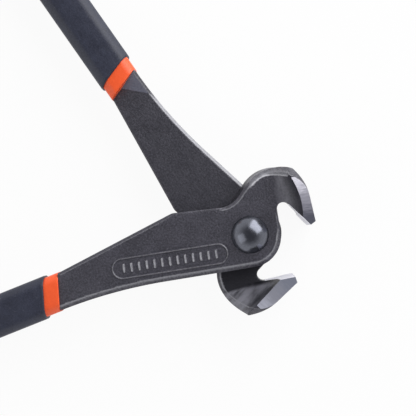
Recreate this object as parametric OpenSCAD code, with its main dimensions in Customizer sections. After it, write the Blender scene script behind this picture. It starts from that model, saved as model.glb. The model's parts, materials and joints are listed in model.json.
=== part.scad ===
// End cutting nippers: two like forged levers, lapped and riveted, with two-layer grips.
// Each lever is drawn closed in its own frame: pivot at the origin, cutting edge ahead on +X,
// jaw on the +Y side, handle on the -Y side, outer face up. The second lever is the first one
// turned over. Both are then opened by the same angle and set down on the sides of their jaws.

/* [Pose] */
// Angle between the two levers at rest, degrees
rest_opening = 52; // [0:1:70]

/* [Lever plate] */
// Thickness of each lever where the two are lapped
plate_t = 6; // [4.5:0.5:8]
// Radius of the round hub below the pivot
hub_r = 10.2; // [9.5:0.1:11]
// Distance of the plate's lower edge below the centre line
under_y = 10.8; // [10.2:0.1:11.4]
// Height of the plate's upper edge above the centre line, at the foot of the flank
neck_y = 10.4; // [9.8:0.1:11]
// Distance from the pivot back to the upper corner of the plate
corner_x = 24.5; // [20:0.5:32]
// Height of that corner above the centre line
corner_y = 11.3; // [10.5:0.1:13]
// Radius of the long curve under the shank
shank_curve_r = 170; // [120:5:185]

/* [Jaw] */
// Width of the jaws along the pivot axis
jaw_w = 24; // [20:0.5:30]
// Distance from the pivot to the cutting edge
edge_x = 20; // [19:0.1:22]
// Angle of the ground bevel inside the cutting edge
bevel_angle = 54; // [50:1:58]
// Reach of the narrow outer bevel past the cutting edge
lip_reach = 1.7; // [0.8:0.1:2.2]
// Height of that outer bevel
lip_rise = 0.9; // [0.5:0.1:1.4]
// Length of the straight face above the outer bevel
face_straight = 8.1; // [6:0.1:9]
// Backward lean of that face, degrees
face_lean = 3.6; // [1:0.1:6]
// Radius of the upper face
face_r = 18.2; // [16:0.1:22]
// Radius of the rounded back of the jaw
back_r = 13.2; // [12:0.1:14.5]
// Centre of the rounded back, ahead of the pivot
back_x = 11.2; // [10:0.1:12]
// Centre of the rounded back, above the centre line
back_y = 7.5; // [6.5:0.1:8]
// Slope of the flank behind the jaw, degrees
flank_angle = 47; // [42:1:52]
// Radius of the fillet between the flank and the plate
flank_fillet_r = 9; // [6:0.5:12]
// Radius of the root of the throat
throat_r = 2.2; // [1.8:0.1:2.6]
// Distance from the pivot to the ground side faces
ground_x = 17.1; // [16.5:0.1:18.1]
// Distance from the pivot to the chamfers across the jaw's upper corners
crown_d = 23.4; // [22.2:0.1:24.6]
// Direction of those chamfers, degrees
crown_angle = 34; // [28:1:40]
// Slope of those chamfers, degrees
crown_slope = 45; // [35:1:55]
// Distance from the pivot to the bottom of the outer scoop
scoop_x = 9.7; // [8:0.1:12]
// Depth of that scoop below the plate's face
scoop_dip = 0.1; // [0.05:0.05:0.4]
// Distance from the pivot to the shoulder on the lapped side
shoulder_d = 16; // [14.5:0.5:17]
// Direction of that shoulder, degrees
shoulder_angle = 30; // [24:1:36]
// Slope of the lapped side from the shoulder up to the jaw side, degrees
shoulder_slope = 50; // [40:1:60]

/* [Pivot] */
// Radius of the rivet's shank
rivet_r = 4; // [3:0.25:5]
// Radius of the domed head
rivet_head_r = 6.2; // [5.5:0.1:7.5]
// Height of the domed head
rivet_head_h = 3.6; // [2.5:0.1:4.5]
// Radius of the closed tail
rivet_tail_r = 5.4; // [5.25:0.05:6.5]
// Height of the closed tail
rivet_tail_h = 1.2; // [0.8:0.1:2]
// Running clearance of the rivet in the turning lever, on the radius
rivet_clear = 0.05; // [0.01:0.01:0.1]
// Running gap between the two lapped faces, and under the tail
lap_gap = 0.1; // [0.05:0.01:0.2]

/* [Handle] */
// Distance from the pivot to the end of the bare steel
band_x = 66.2; // [64:0.2:75]
// Length of inner sleeve left showing
band_l = 5; // [3:0.2:10]
// Slant of the sleeves' front edges, degrees
band_slant = 5.5; // [0:0.5:8]
// Distance of the handle's middle from the centre line at the end of the steel
handle_y = 8.5; // [8.2:0.1:9.2]
// Slope of the handle away from the centre line, degrees
handle_slope = 12.4; // [11:0.2:12.8]
// Length of the straight stretch of the handle
handle_straight = 44.8; // [30:0.2:70]
// Radius of the bend that brings the handle back in
handle_bend_r = 160; // [120:5:240]
// Angle of that bend, degrees
handle_bend = 22; // [14:1:30]
// Swelling of the rounded end past the sides of the handle
bead = 0.4; // [0.2:0.05:0.8]
// Width of the steel tang in the grip
tang_w = 11.3; // [10.5:0.1:12.5]
// Thickness of the steel tang
tang_t = 8.5; // [7:0.25:10]
// Corner chamfer of the tang
tang_chamfer = 1.8; // [1:0.1:2.4]
// Shoulder where the shank steps down to the tang
tang_step = 0.35; // [0.1:0.05:0.5]
// Wall of the inner sleeve
liner_wall = 0.65; // [0.4:0.05:1.2]
// Wall of the outer sleeve
cover_wall = 0.7; // [0.5:0.05:1.5]
// Length of the ramp from the lapped face up to the tang
ramp_l = 9.7; // [6:0.1:14]
// Slant of the ramp's foot across the shank, degrees
ramp_slant = 32; // [20:1:45]
// Flat left between the ramp and the end of the bare steel
ramp_land = 0.6; // [0.2:0.1:1.5]

/* [Panel] */
// Length of the raised panel rim on the outer face
panel_l = 39.6; // [30:0.2:42]
// Width of the panel
panel_w = 7.3; // [5:0.1:8]
// Distance from the pivot back to the panel's middle
panel_x = 27.7; // [26:0.1:30]
// Distance of the panel's middle below the centre line
panel_y = 4.4; // [3.8:0.1:5]
// Tilt of the panel, degrees
panel_tilt = 0.5; // [0:0.5:4]
// Width of the rim
rim_w = 0.7; // [0.4:0.1:1.2]
// Height of the rim
rim_h = 0.4; // [0.2:0.05:0.8]

/* [Hidden] */
$fn = 144;
steel_colour = [0.27, 0.26, 0.29];
rivet_colour = [0.20, 0.20, 0.22];
liner_colour = [0.94, 0.36, 0.18];
cover_colour = [0.17, 0.19, 0.25];
// Length that carries a cut clear of what it cuts
beyond = 300;
// Depth by which straight sides and rounds cross where one runs into the other
tuck = 0.03;
// Both cutting edges stop half of the lap gap short of each other
edge_gap = lap_gap / 2;
lap_z = lap_gap / 2;
jaw_half = jaw_w / 2;
swing = rest_opening / 2;

// Handle: points along its middle line
function along(p, d, a) = p + d * [cos(a), sin(a)];
function turned(p, a) = [p.x * cos(a) - p.y * sin(a), p.x * sin(a) + p.y * cos(a)];
handle_heading = 180 + handle_slope;
end_heading = handle_heading - handle_bend;
handle_start = [-band_x, -handle_y];
bend_start = along(handle_start, handle_straight, handle_heading);
bend_centre = along(bend_start, handle_bend_r, handle_heading - 90);
handle_end = along(bend_centre, handle_bend_r, end_heading + 90);
bend_end = handle_bend_r * [sin(handle_bend), 1 - cos(handle_bend)];
handle_z = plate_t - tang_t / 2;
liner_w = tang_w + 2 * liner_wall;
cover_w = liner_w + 2 * cover_wall;
cover_x = band_x + band_l;

// Shank: where it ends, and the curve under it. It is drawn too long and then cut like the sleeves
shank_half = (tang_w / 2 + tang_step) / cos(handle_slope + band_slant);
shank_low = along(handle_start, -shank_half, 90 - band_slant);
shank_high = along(handle_start, shank_half, 90 - band_slant);
shank_spare = 2 * tang_step;
upper_slope = atan2(shank_high.y - corner_y, shank_high.x + corner_x);
curve_reach = shank_curve_r * tan(handle_slope / 2);
curve_corner_x = shank_low.x - (under_y + shank_low.y) / tan(handle_slope);
curve_start = [curve_corner_x + curve_reach, -under_y];
curve_end = along([curve_corner_x, -under_y], curve_reach, handle_heading);

// Hub and jaw: the face, the flank and the throat
hub_y = hub_r - under_y;
tip = [edge_x + lip_reach, edge_gap + lip_rise];
face_top = along(tip, face_straight, 90 + face_lean);
face_centre = along(face_top, face_r, 180 + face_lean);
back_centre = [back_x, back_y];
face_corner = along(face_centre, face_r - tuck, face_lean);
flank_top = along(back_centre, back_r - tuck, 90 + flank_angle);
fillet_in = flank_fillet_r - tuck;
flank_drop = neck_y + fillet_in - flank_top.y;
flank_fillet_x = flank_top.x - (fillet_in - cos(flank_angle) * flank_drop) / sin(flank_angle);
flank_fillet_centre = [flank_fillet_x, neck_y + fillet_in];
flank_low = along(flank_fillet_centre, fillet_in, flank_angle - 90);
flank_foot = [flank_top.x - (flank_top.y - neck_y) / tan(flank_angle), neck_y];
throat_x = hub_r + throat_r;
throat_y = edge_gap + ((edge_x - throat_x) * sin(bevel_angle) - throat_r) / cos(bevel_angle);
bevel_top = along([throat_x, throat_y], throat_r, 90 - bevel_angle);

// Scoops that leave the jaw wide only at its ground side faces
scoop_rise = jaw_half - plate_t + scoop_dip;
scoop_r = (pow(ground_x - scoop_x, 2) + pow(scoop_rise, 2)) / (2 * scoop_rise);

// Ramp from the lapped face to the tang: its foot crosses the lower edge ahead of the steel's end
ramp_drop = tang_t - plate_t;
ramp_foot = shank_low + ramp_l * [1, tan(handle_slope)];
ramp_heading = 270 - ramp_slant;
ramp_span = (shank_low - ramp_foot) * [cos(ramp_heading), sin(ramp_heading)];
ramp_slope = atan2(ramp_drop + lap_z, ramp_span - ramp_land);

// Rest place: the middle of the open tool's outline lies over the origin
reach_ahead = turned(tip, swing).x;
reach_behind = turned(handle_end, swing).x - cover_w / 2 - bead;
pivot_place = [-(reach_ahead + reach_behind) / 2, 0, jaw_half];

// Plan of a lever, with the throat and both bevels cut
module lever_plan() {
    difference() {
        union() {
            translate([0, hub_y]) circle(hub_r);
            shank_plan();
            flank_plan();
            jaw_plan();
        }
        throat_plan();
    }
}

// Plate and shank back to the end of the bare steel
module shank_plan() {
    difference() {
        polygon([[0, -under_y], [0, neck_y], flank_foot, [flank_fillet_x, neck_y], [-corner_x, corner_y],
                 along(shank_high, shank_spare, upper_slope), along(shank_low, shank_spare, handle_heading),
                 curve_end, curve_start]);
        translate([curve_start.x, tuck - under_y - shank_curve_r]) circle(shank_curve_r);
        translate([-band_x, -handle_y]) rotate(-band_slant) translate([-beyond, -beyond / 2]) square(beyond);
    }
}

// Flank that rises from the plate to the back of the jaw
module flank_plan() {
    difference() {
        polygon([[flank_fillet_x, neck_y], flank_low, flank_top, back_centre, [back_x, 0], [0, 0]]);
        translate(flank_fillet_centre) circle(flank_fillet_r);
    }
}

// Head of the jaw: rounded back, rounded upper face and straight lower face
module jaw_plan() {
    intersection() {
        translate(back_centre) circle(back_r);
        union() {
            translate(face_centre) circle(face_r);
            polygon([face_centre, [face_centre.x, hub_y], [tip.x, hub_y], tip, face_corner]);
        }
        translate([0, hub_y]) square(beyond);
    }
}

// Space ahead of the hub, under the inner bevel, the cutting edge and the outer bevel
module throat_plan() {
    translate([throat_x, throat_y]) circle(throat_r);
    polygon([[hub_r, -beyond], [hub_r, throat_y], [throat_x, throat_y], bevel_top, [edge_x, edge_gap], tip,
             [beyond, tip.y], [beyond, -beyond]]);
}

// Chamfers across the upper corners of the jaw, one on each side face
module crown_cuts() {
    for (side = [0, 1]) mirror([0, 0, side]) rotate([0, 0, crown_angle]) translate([crown_d, 0, jaw_half])
        rotate([0, crown_slope, 0]) translate([-beyond / 2, -beyond / 2, 0]) cube(beyond);
}

// Half of a lever on its own side of the lap
module own_side() {
    difference() {
        translate([0, 0, lap_z]) linear_extrude(jaw_half - lap_z) lever_plan();
        translate([scoop_x - beyond, -beyond / 2, plate_t]) cube(beyond);
        translate([scoop_x, 0, plate_t - scoop_dip + scoop_r])
            rotate([90, 0, 0]) cylinder(h = beyond, r = scoop_r, center = true);
    }
}

// Half of the jaw that crosses the lap, beyond the shoulder
module crossing_side() {
    difference() {
        translate([0, 0, -jaw_half]) linear_extrude(jaw_half + plate_t / 2) intersection() {
            lever_plan();
            rotate(shoulder_angle) translate([shoulder_d, -beyond / 2]) square(beyond);
        }
        intersection() {
            translate([ground_x - beyond, -beyond / 2, -beyond / 2]) cube(beyond);
            rotate([0, 0, shoulder_angle]) translate([shoulder_d, 0, lap_z])
                rotate([0, shoulder_slope, 0]) translate([-beyond / 2, -beyond / 2, -beyond]) cube(beyond);
        }
    }
}

// Ramp on the lapped side that thickens the shank to the tang
module tang_ramp() {
    intersection() {
        translate([0, 0, -ramp_drop]) linear_extrude(ramp_drop + plate_t / 2) shank_plan();
        translate([ramp_foot.x, ramp_foot.y, lap_z]) rotate([0, ramp_slope, ramp_heading])
            translate([0, -beyond / 2, 0]) cube(beyond);
    }
}

// Bar section with chamfered corners, and the half of it that an end cap turns
module bar_section(w, t, c) {
    polygon([[c - w / 2, -t / 2], [w / 2 - c, -t / 2], [w / 2, c - t / 2], [w / 2, t / 2 - c],
             [w / 2 - c, t / 2], [c - w / 2, t / 2], [-w / 2, t / 2 - c], [-w / 2, c - t / 2]]);
}
module half_section(w, t, c) {
    polygon([[0, -t / 2], [w / 2 - c, -t / 2], [w / 2, c - t / 2], [w / 2, t / 2 - c], [w / 2 - c, t / 2],
             [0, t / 2]]);
}

// Handle bar behind from_x: the tang with walls of the given thickness laid over it. It is drawn from
// the start of its bend, straight stretch behind and bend ahead, and then put in its place
module handle_bar(wall, from_x) {
    w = tang_w + 2 * wall;
    t = tang_t + 2 * wall;
    c = tang_chamfer + wall * (2 - sqrt(2));
    straight_l = handle_straight + w;
    intersection() {
        translate([bend_start.x, bend_start.y, handle_z]) rotate([0, 0, handle_heading])
        mirror([0, 1, 0]) union() {
            translate([-straight_l, 0, 0]) rotate([90, 0, 90])
                linear_extrude(straight_l) bar_section(w, t, c);
            translate([0, handle_bend_r, 0]) rotate([0, 0, -90])
                rotate_extrude(angle = handle_bend) translate([handle_bend_r, 0]) bar_section(w, t, c);
            translate(bend_end) rotate_extrude() half_section(w + 2 * bead, t, c);
        }
        translate([-from_x, -handle_y, 0]) rotate([0, 0, -band_slant])
            translate([-beyond, -beyond / 2, -beyond / 2]) cube(beyond);
    }
}

// Raised rim of the panel on the outer face
module stadium(l, w) {
    square([l - w, w], center = true);
    for (end = [-1, 1]) translate([end * (l - w) / 2, 0]) circle(w / 2);
}
module panel_rim() {
    translate([-panel_x, -panel_y, plate_t]) rotate([0, 0, -panel_tilt])
    linear_extrude(rim_h) difference() {
        stadium(panel_l, panel_w);
        stadium(panel_l - 2 * rim_w, panel_w - 2 * rim_w);
    }
}

// One lever with its rivet hole
module lever(hole_r) {
    difference() {
        union() {
            own_side();
            crossing_side();
            tang_ramp();
            handle_bar(0, band_x);
            panel_rim();
        }
        crown_cuts();
        cylinder(h = beyond, r = hole_r, center = true);
    }
}

// Inner sleeve, which shows as a band, and outer sleeve over the rest of it
module grip_liner() {
    difference() {
        handle_bar(liner_wall, band_x);
        handle_bar(0, 0);
    }
}
module grip_cover() {
    difference() {
        handle_bar(liner_wall + cover_wall, cover_x);
        handle_bar(liner_wall, 0);
    }
}

// Spherical cap on the plane z = 0
module dome(r, h) {
    ball_r = (r * r + h * h) / (2 * h);
    rotate_extrude() intersection() {
        translate([0, h - ball_r]) circle(ball_r);
        square([r, h]);
    }
}

// Places of the two levers in the open tool
module front_place() {
    translate(pivot_place) rotate([0, 0, swing]) children();
}
module rear_place() {
    translate(pivot_place) rotate([0, 0, -swing]) rotate([180, 0, 0]) children();
}

module front_lever() {
    color(steel_colour) front_place() lever(rivet_r);
}
module rear_lever() {
    color(steel_colour) rear_place() lever(rivet_r + rivet_clear);
}
module pivot_rivet() {
    color(rivet_colour) translate(pivot_place) union() {
        translate([0, 0, -plate_t - lap_gap]) cylinder(h = 2 * plate_t + lap_gap, r = rivet_r);
        translate([0, 0, plate_t]) dome(rivet_head_r, rivet_head_h);
        translate([0, 0, -plate_t - lap_gap]) rotate([180, 0, 0]) dome(rivet_tail_r, rivet_tail_h);
    }
}
module front_grip_liner() {
    color(liner_colour) front_place() grip_liner();
}
module front_grip_cover() {
    color(cover_colour) front_place() grip_cover();
}
module rear_grip_liner() {
    color(liner_colour) rear_place() grip_liner();
}
module rear_grip_cover() {
    color(cover_colour) rear_place() grip_cover();
}

front_lever();
rear_lever();
pivot_rivet();
front_grip_liner();
front_grip_cover();
rear_grip_liner();
rear_grip_cover();
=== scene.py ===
"""Looks of a pair of end cutting nippers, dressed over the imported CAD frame."""
import json
import logging
import math
from dataclasses import dataclass
from enum import Enum
from typing import Callable, Iterable, Sequence, Union

import bpy
import numpy as np
from mathutils import Matrix, Vector
from mathutils.geometry import delaunay_2d_cdt


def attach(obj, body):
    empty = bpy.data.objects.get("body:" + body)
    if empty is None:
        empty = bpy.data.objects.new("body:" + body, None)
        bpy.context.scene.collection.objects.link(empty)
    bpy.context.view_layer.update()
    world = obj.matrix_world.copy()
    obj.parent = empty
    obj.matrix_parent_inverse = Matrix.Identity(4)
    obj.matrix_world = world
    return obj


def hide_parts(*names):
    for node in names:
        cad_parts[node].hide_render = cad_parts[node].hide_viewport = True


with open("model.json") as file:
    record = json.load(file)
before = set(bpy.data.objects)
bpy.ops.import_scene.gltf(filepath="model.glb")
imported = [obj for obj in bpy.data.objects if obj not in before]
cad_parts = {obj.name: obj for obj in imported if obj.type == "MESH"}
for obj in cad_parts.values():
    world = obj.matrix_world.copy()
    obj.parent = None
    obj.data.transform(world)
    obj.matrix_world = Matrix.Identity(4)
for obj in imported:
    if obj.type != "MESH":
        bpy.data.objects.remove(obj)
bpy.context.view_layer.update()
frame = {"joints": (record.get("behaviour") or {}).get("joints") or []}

log = logging.getLogger("nippers")
MM = 0.001
IMAGE_PX = 416
TINY = 1e-6
FAR = 1e3
CHUNK = 512

Point = tuple[float, float]
Triple = tuple[float, float, float]
Colour = tuple[float, float, float, float]
Number = Union[float, np.ndarray]
Stations = tuple[Point, ...]


class Side(Enum):
    """The two levers of the tool."""

    FRONT = "front"
    REAR = "rear"


class Face(Enum):
    """The two broad sides of a lever."""

    OUTER = "outer"
    LAPPED = "lapped"


class Layer(Enum):
    """The two sleeves of a grip, from the inside out."""

    LINER = "liner"
    COVER = "cover"


class Region(Enum):
    """Surfaces of a lever that take different finishes."""

    FORGED = 0
    BEVEL = 1
    OUTER_SIDE = 2
    LAPPED_SIDE = 3
    RAMP = 4
    DIPPED = 5


def turned(points: np.ndarray, degrees: float) -> np.ndarray:
    """Turns plan points about the origin.

    Args:
        points: rows of x, y and perhaps z.
        degrees: the angle, counter-clockwise.

    Returns:
        The turned rows.
    """
    c, s = math.cos(math.radians(degrees)), math.sin(math.radians(degrees))
    out = np.array(points, float)
    out[:, 0] = points[:, 0] * c - points[:, 1] * s
    out[:, 1] = points[:, 0] * s + points[:, 1] * c
    return out


def along(start: Sequence[float], distance: float, degrees: float) -> np.ndarray:
    """Gives the point at a distance from a start point in a direction.

    Args:
        start: the start point.
        distance: how far to go.
        degrees: the heading.

    Returns:
        The point.
    """
    a = math.radians(degrees)
    return np.array([start[0] + distance * math.cos(a), start[1] + distance * math.sin(a)])


def bearing(start: Sequence[float], end: Sequence[float]) -> float:
    """Gives the heading from one point to another.

    Args:
        start: the start point.
        end: the point to head for.

    Returns:
        The heading, degrees.
    """
    return math.degrees(math.atan2(end[1] - start[1], end[0] - start[0]))


def line(start: Sequence[float], end: Sequence[float], step: float) -> np.ndarray:
    """Samples a straight run, without its last point.

    Args:
        start: first point.
        end: point that the run stops short of.
        step: longest distance between samples.

    Returns:
        The samples.
    """
    start, end = np.array(start, float), np.array(end, float)
    count = max(1, math.ceil(np.linalg.norm(end - start) / step))
    return start + (end - start) * (np.arange(count) / count)[:, None]


def arc(centre: Sequence[float], radius: float, first: float, last: float, step: float) -> np.ndarray:
    """Samples a round run, without its last point.

    Args:
        centre: middle of the circle.
        radius: its radius.
        first: angle of the first point, degrees.
        last: angle that the run stops short of, degrees.
        step: longest distance between samples.

    Returns:
        The samples.
    """
    count = max(3, math.ceil(abs(math.radians(last - first)) * radius / step))
    angles = np.radians(first + (last - first) * np.arange(count) / count)
    return np.stack([centre[0] + radius * np.cos(angles), centre[1] + radius * np.sin(angles)], 1)


def ways(loop: np.ndarray) -> np.ndarray:
    """Gives the direction of a closed line at each of its points.

    Args:
        loop: the line's points, the first one not repeated.

    Returns:
        A unit vector for each point.
    """
    chord = np.roll(loop, -1, 0) - np.roll(loop, 1, 0)
    return chord / np.linalg.norm(chord, axis=1)[:, None]


def between(stations: Stations, at: np.ndarray) -> np.ndarray:
    """Reads values off the straight stretches between stations.

    Args:
        stations: pairs of a place and the value there, in order of place.
        at: the places to read.

    Returns:
        The values.
    """
    places, values = zip(*stations)
    return np.interp(at, places, values)


def smoothstep(low: float, high: float, value: np.ndarray) -> np.ndarray:
    """Eases from 0 at low to 1 at high.

    Args:
        low: value that gives 0.
        high: value that gives 1.
        value: the values to ease.

    Returns:
        The eased values.
    """
    t = np.clip((value - low) / (high - low), 0, 1)
    return t * t * (3 - 2 * t)


@dataclass(frozen=True)
class Stance:
    """Where one lever lies in the row frame: its side, the pivot in metres and its half of the opening."""

    side: Side
    pivot: Triple
    swing: float = 26.0

    def place(self, points: np.ndarray) -> np.ndarray:
        """Puts lever points into the row frame.

        Args:
            points: rows of x, y, z in the closed lever's frame, millimetres.

        Returns:
            Rows in the row frame, metres.
        """
        out = np.array(points, float)
        if self.side is Side.REAR:
            out[:, 1:] *= -1
        out = turned(out, -self.swing if self.side is Side.REAR else self.swing)
        return out * MM + np.array(self.pivot)

    @property
    def body(self) -> str:
        """The CAD body that the lever's pieces ride on."""
        return f"{self.side.value}_half"


class Sock:
    """A shader value that can be used in Python arithmetic."""

    def __init__(self, graph: "Graph", socket: Union[bpy.types.NodeSocket, None]) -> None:
        """Wraps an output socket of a node tree, or None for a node that has no output."""
        self.graph = graph
        self.socket = socket

    def maths(self, operation: str, first: "Value", second: "Value") -> "Sock":
        """Gives the result of a Math node on two values."""
        return self.graph.node("ShaderNodeMath", {"operation": operation}, {0: first, 1: second})

    def __add__(self, other: "Value") -> "Sock":
        """Adds."""
        return self.maths("ADD", self, other)

    def __radd__(self, other: "Value") -> "Sock":
        """Adds from the right."""
        return self.maths("ADD", other, self)

    def __sub__(self, other: "Value") -> "Sock":
        """Subtracts."""
        return self.maths("SUBTRACT", self, other)

    def __rsub__(self, other: "Value") -> "Sock":
        """Subtracts from a value."""
        return self.maths("SUBTRACT", other, self)

    def __mul__(self, other: "Value") -> "Sock":
        """Multiplies."""
        return self.maths("MULTIPLY", self, other)

    def __rmul__(self, other: "Value") -> "Sock":
        """Multiplies from the right."""
        return self.maths("MULTIPLY", other, self)

    def lesser(self, other: "Value") -> "Sock":
        """Takes the smaller of two values."""
        return self.maths("MINIMUM", self, other)

    def eased(self, low: float, high: float) -> "Sock":
        """Eases from 0 at low to 1 at high."""
        return self.graph.node("ShaderNodeMapRange", {"interpolation_type": "SMOOTHSTEP"},
                               {"Value": self, "From Min": low, "From Max": high})


Value = Union[Sock, float, tuple]


class Graph:
    """The node tree of one material or of the world."""

    def __init__(self, owner: Union[bpy.types.Material, bpy.types.World]) -> None:
        """Clears the owner's nodes.

        Args:
            owner: the material or world to write into.
        """
        owner.use_nodes = True
        self.owner = owner
        self.tree = owner.node_tree
        self.tree.nodes.clear()

    def node(self, kind: str, settings: Union[dict, None] = None, inputs: Union[dict, None] = None,
             output: Union[str, int] = 0) -> Sock:
        """Adds a node.

        Args:
            kind: the node's type.
            settings: its own settings.
            inputs: values or links of its sockets, by name or place.
            output: the output to give back, by name or place.

        Returns:
            That output.
        """
        made = self.tree.nodes.new(kind)
        for name, value in (settings or {}).items():
            setattr(made, name, value)
        for name, value in (inputs or {}).items():
            if isinstance(value, Sock):
                self.tree.links.new(value.socket, made.inputs[name])
            else:
                made.inputs[name].default_value = value
        return Sock(self, made.outputs[output] if len(made.outputs) else None)

    def mix(self, factor: Value, first: Value, second: Value) -> Sock:
        """Mixes two colours, with the second one's share as the factor."""
        return self.node("ShaderNodeMix", {"data_type": "RGBA"}, {0: factor, 6: first, 7: second}, 2)

    def attribute(self, name: str, output: str = "Fac") -> Sock:
        """Reads a mesh attribute by name."""
        return self.node("ShaderNodeAttribute", {"attribute_name": name}, None, output)

    def place(self) -> Sock:
        """Reads where a point lies in the closed lever's frame, in millimetres."""
        return self.attribute("lever_mm", "Vector")

    def stretched(self, vector: Sock, scale: Triple) -> Sock:
        """Scales a coordinate along its axes."""
        return self.node("ShaderNodeVectorMath", {"operation": "MULTIPLY"}, {0: vector, 1: scale})

    def noise(self, vector: Sock, scale: float, detail: float = 3.0, rough: float = 0.55) -> Sock:
        """Gives noise of about 0.5, with its frequency, its octaves and the weight of the higher ones."""
        return self.node("ShaderNodeTexNoise", None,
                         {"Vector": vector, "Scale": scale, "Detail": detail, "Roughness": rough})

    def bump(self, height: Sock, strength: float, distance: float, normal: Union[Sock, None] = None) -> Sock:
        """Turns a height into a normal.

        Args:
            height: the height value.
            strength: how much of it shows.
            distance: height of 1, metres.
            normal: a normal to build on.

        Returns:
            The normal.
        """
        inputs = {"Height": height, "Strength": strength, "Distance": distance}
        if normal is not None:
            inputs["Normal"] = normal
        return self.node("ShaderNodeBump", None, inputs)

    def surface(self, inputs: dict) -> bpy.types.Material:
        """Ends a material in a Principled shader.

        Args:
            inputs: values or links of the shader's sockets.

        Returns:
            The finished material.
        """
        shader = self.node("ShaderNodeBsdfPrincipled", None, inputs)
        self.node("ShaderNodeOutputMaterial", None, {"Surface": shader})
        return self.owner


@dataclass(frozen=True)
class ForgedSteel:
    """Blackened forging skin: fine grain, light specks, worn edges with painted glints along their crests,
    painted shade where the other lever shades the lapped face and on the scoop's steep wall, and a flare with
    scoring streaks and a painted sheen.
    """

    name: str = "forged_steel"
    dark: Colour = (0.027, 0.026, 0.037, 1)
    light: Colour = (0.080, 0.077, 0.102, 1)
    speck: Colour = (0.19, 0.185, 0.215, 1)
    # Worn edge colours, which also paint glints along the crests of the edge breaks; the brightest one is
    # bare worn metal and glints.
    rubbed_and_glint: Colour = (0.25, 0.25, 0.278, 1)
    bare: Colour = (0.56, 0.56, 0.60, 1)
    # Colour of the flare's scoring streaks, which also paints a sheen across the middle of the scoop and the
    # flare.
    scored_and_sheen: Colour = (0.29, 0.29, 0.335, 1)
    # Painted shade: darkens the lapped face where the other lever shades it, and the scoop's steep wall.
    lapped: Colour = (0.012, 0.012, 0.018, 1)
    roughness: float = 0.46
    metallic: float = 0.35
    ior: float = 1.8
    grain_scale: float = 1.5
    speck_scale: float = 2.6
    blotch_scale: float = 0.16
    streak_scale: Triple = (0.55, 0.16, 0.12)
    pit_m: float = 0.0004
    dent_m: float = 0.0012

    def material(self) -> bpy.types.Material:
        """Builds the material.

        Returns:
            The material.
        """
        g = Graph(bpy.data.materials.new(self.name))
        place, wear = g.place(), g.attribute("wear")
        grain = g.noise(place, self.grain_scale, 4, 0.68)
        blotch = g.noise(place, self.blotch_scale)
        specks = g.noise(place, self.speck_scale, 2, 0.5).eased(0.62, 0.76)
        streaks = g.noise(g.stretched(place, self.streak_scale), 1.0, 3, 0.5)
        # Edge wearing and painted glints along the crests of the breaks come from the same mark.
        rub_and_glint = (wear * (0.55 + grain * 0.9)).eased(0.36, 0.95)
        bare = (wear + (grain - 0.5) * 0.5).eased(0.9, 1.15)
        # Scoring streaks, together with a painted sheen across the middle of the scoop and the flare.
        score_and_sheen = g.attribute("scored_and_sheen") * streaks.eased(0.2, 0.7)
        # Painted shade, kept off the streaks.
        lap = g.attribute("lap") * (1 - score_and_sheen)
        skin = g.mix((grain * 0.8 + blotch * 0.2).eased(0.34, 0.68), self.dark, self.light)
        skin = g.mix(specks * 0.5, skin, self.speck)
        skin = g.mix(lap * 0.85, skin, self.lapped)
        skin = g.mix(score_and_sheen * 0.9, skin, self.scored_and_sheen)
        skin = g.mix(rub_and_glint, skin, self.rubbed_and_glint)
        pits = g.bump(grain * (1 - rub_and_glint * 0.7) + score_and_sheen * 0.6, 0.3, self.pit_m)
        return g.surface({
            "Base Color": g.mix(bare, skin, self.bare),
            "Roughness": self.roughness + (grain - 0.5) * 0.3 + (blotch - 0.5) * 0.12 - rub_and_glint * 0.12,
            # The painted shade also raises metallic, which darkens it further.
            "Metallic": self.metallic - rub_and_glint * 0.2 + lap.eased(0.6, 1.0) * 0.2,
            "Normal": g.bump(blotch, 0.25, self.dent_m, pits), "Specular IOR Level": 0.5, "IOR": self.ior})


@dataclass(frozen=True)
class GroundSteel:
    """Steel left bright by the grinding wheel, with fine lines across it and a painted reflection that is
    bright at the top and fades darker to the tip.
    """

    name: str
    # Painted reflection colours: brightest at the top, then the middle, then the darker tip.
    reflection_top: Colour
    reflection_middle: Colour
    reflection_tip: Colour
    roughness: float = 0.36
    metallic: float = 0.25
    fade_from: float = 15.5
    fade_to: float = 2.0
    line_scale: Triple = (0.25, 1.7, 1.7)
    broad_scale: Triple = (0.12, 0.5, 0.5)
    line_m: float = 0.0002

    def material(self) -> bpy.types.Material:
        """Builds the material.

        Returns:
            The material.
        """
        g = Graph(bpy.data.materials.new(self.name))
        place = g.place()
        lines = g.noise(g.stretched(place, self.line_scale), 1.0, 4, 0.7)
        broad = g.noise(g.stretched(place, self.broad_scale), 1.0, 2)
        tone = (lines * 0.75 + broad * 0.25 - 0.5) * 0.8
        middle = (self.fade_from + self.fade_to) / 2
        # Painted reflection: the colour runs with height from the bright top through the middle to the dark
        # tip.
        up = g.node("ShaderNodeSeparateXYZ", None, {0: place}, "Y") + tone * (self.fade_from - self.fade_to)
        low = g.mix(up.eased(self.fade_to, middle), self.reflection_tip, self.reflection_middle)
        return g.surface({
            "Base Color": g.mix(up.eased(middle, self.fade_from), low, self.reflection_top),
            "Roughness": self.roughness + (lines - 0.5) * 0.2, "Metallic": self.metallic,
            "Normal": g.bump(lines, 0.15, self.line_m)})


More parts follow.
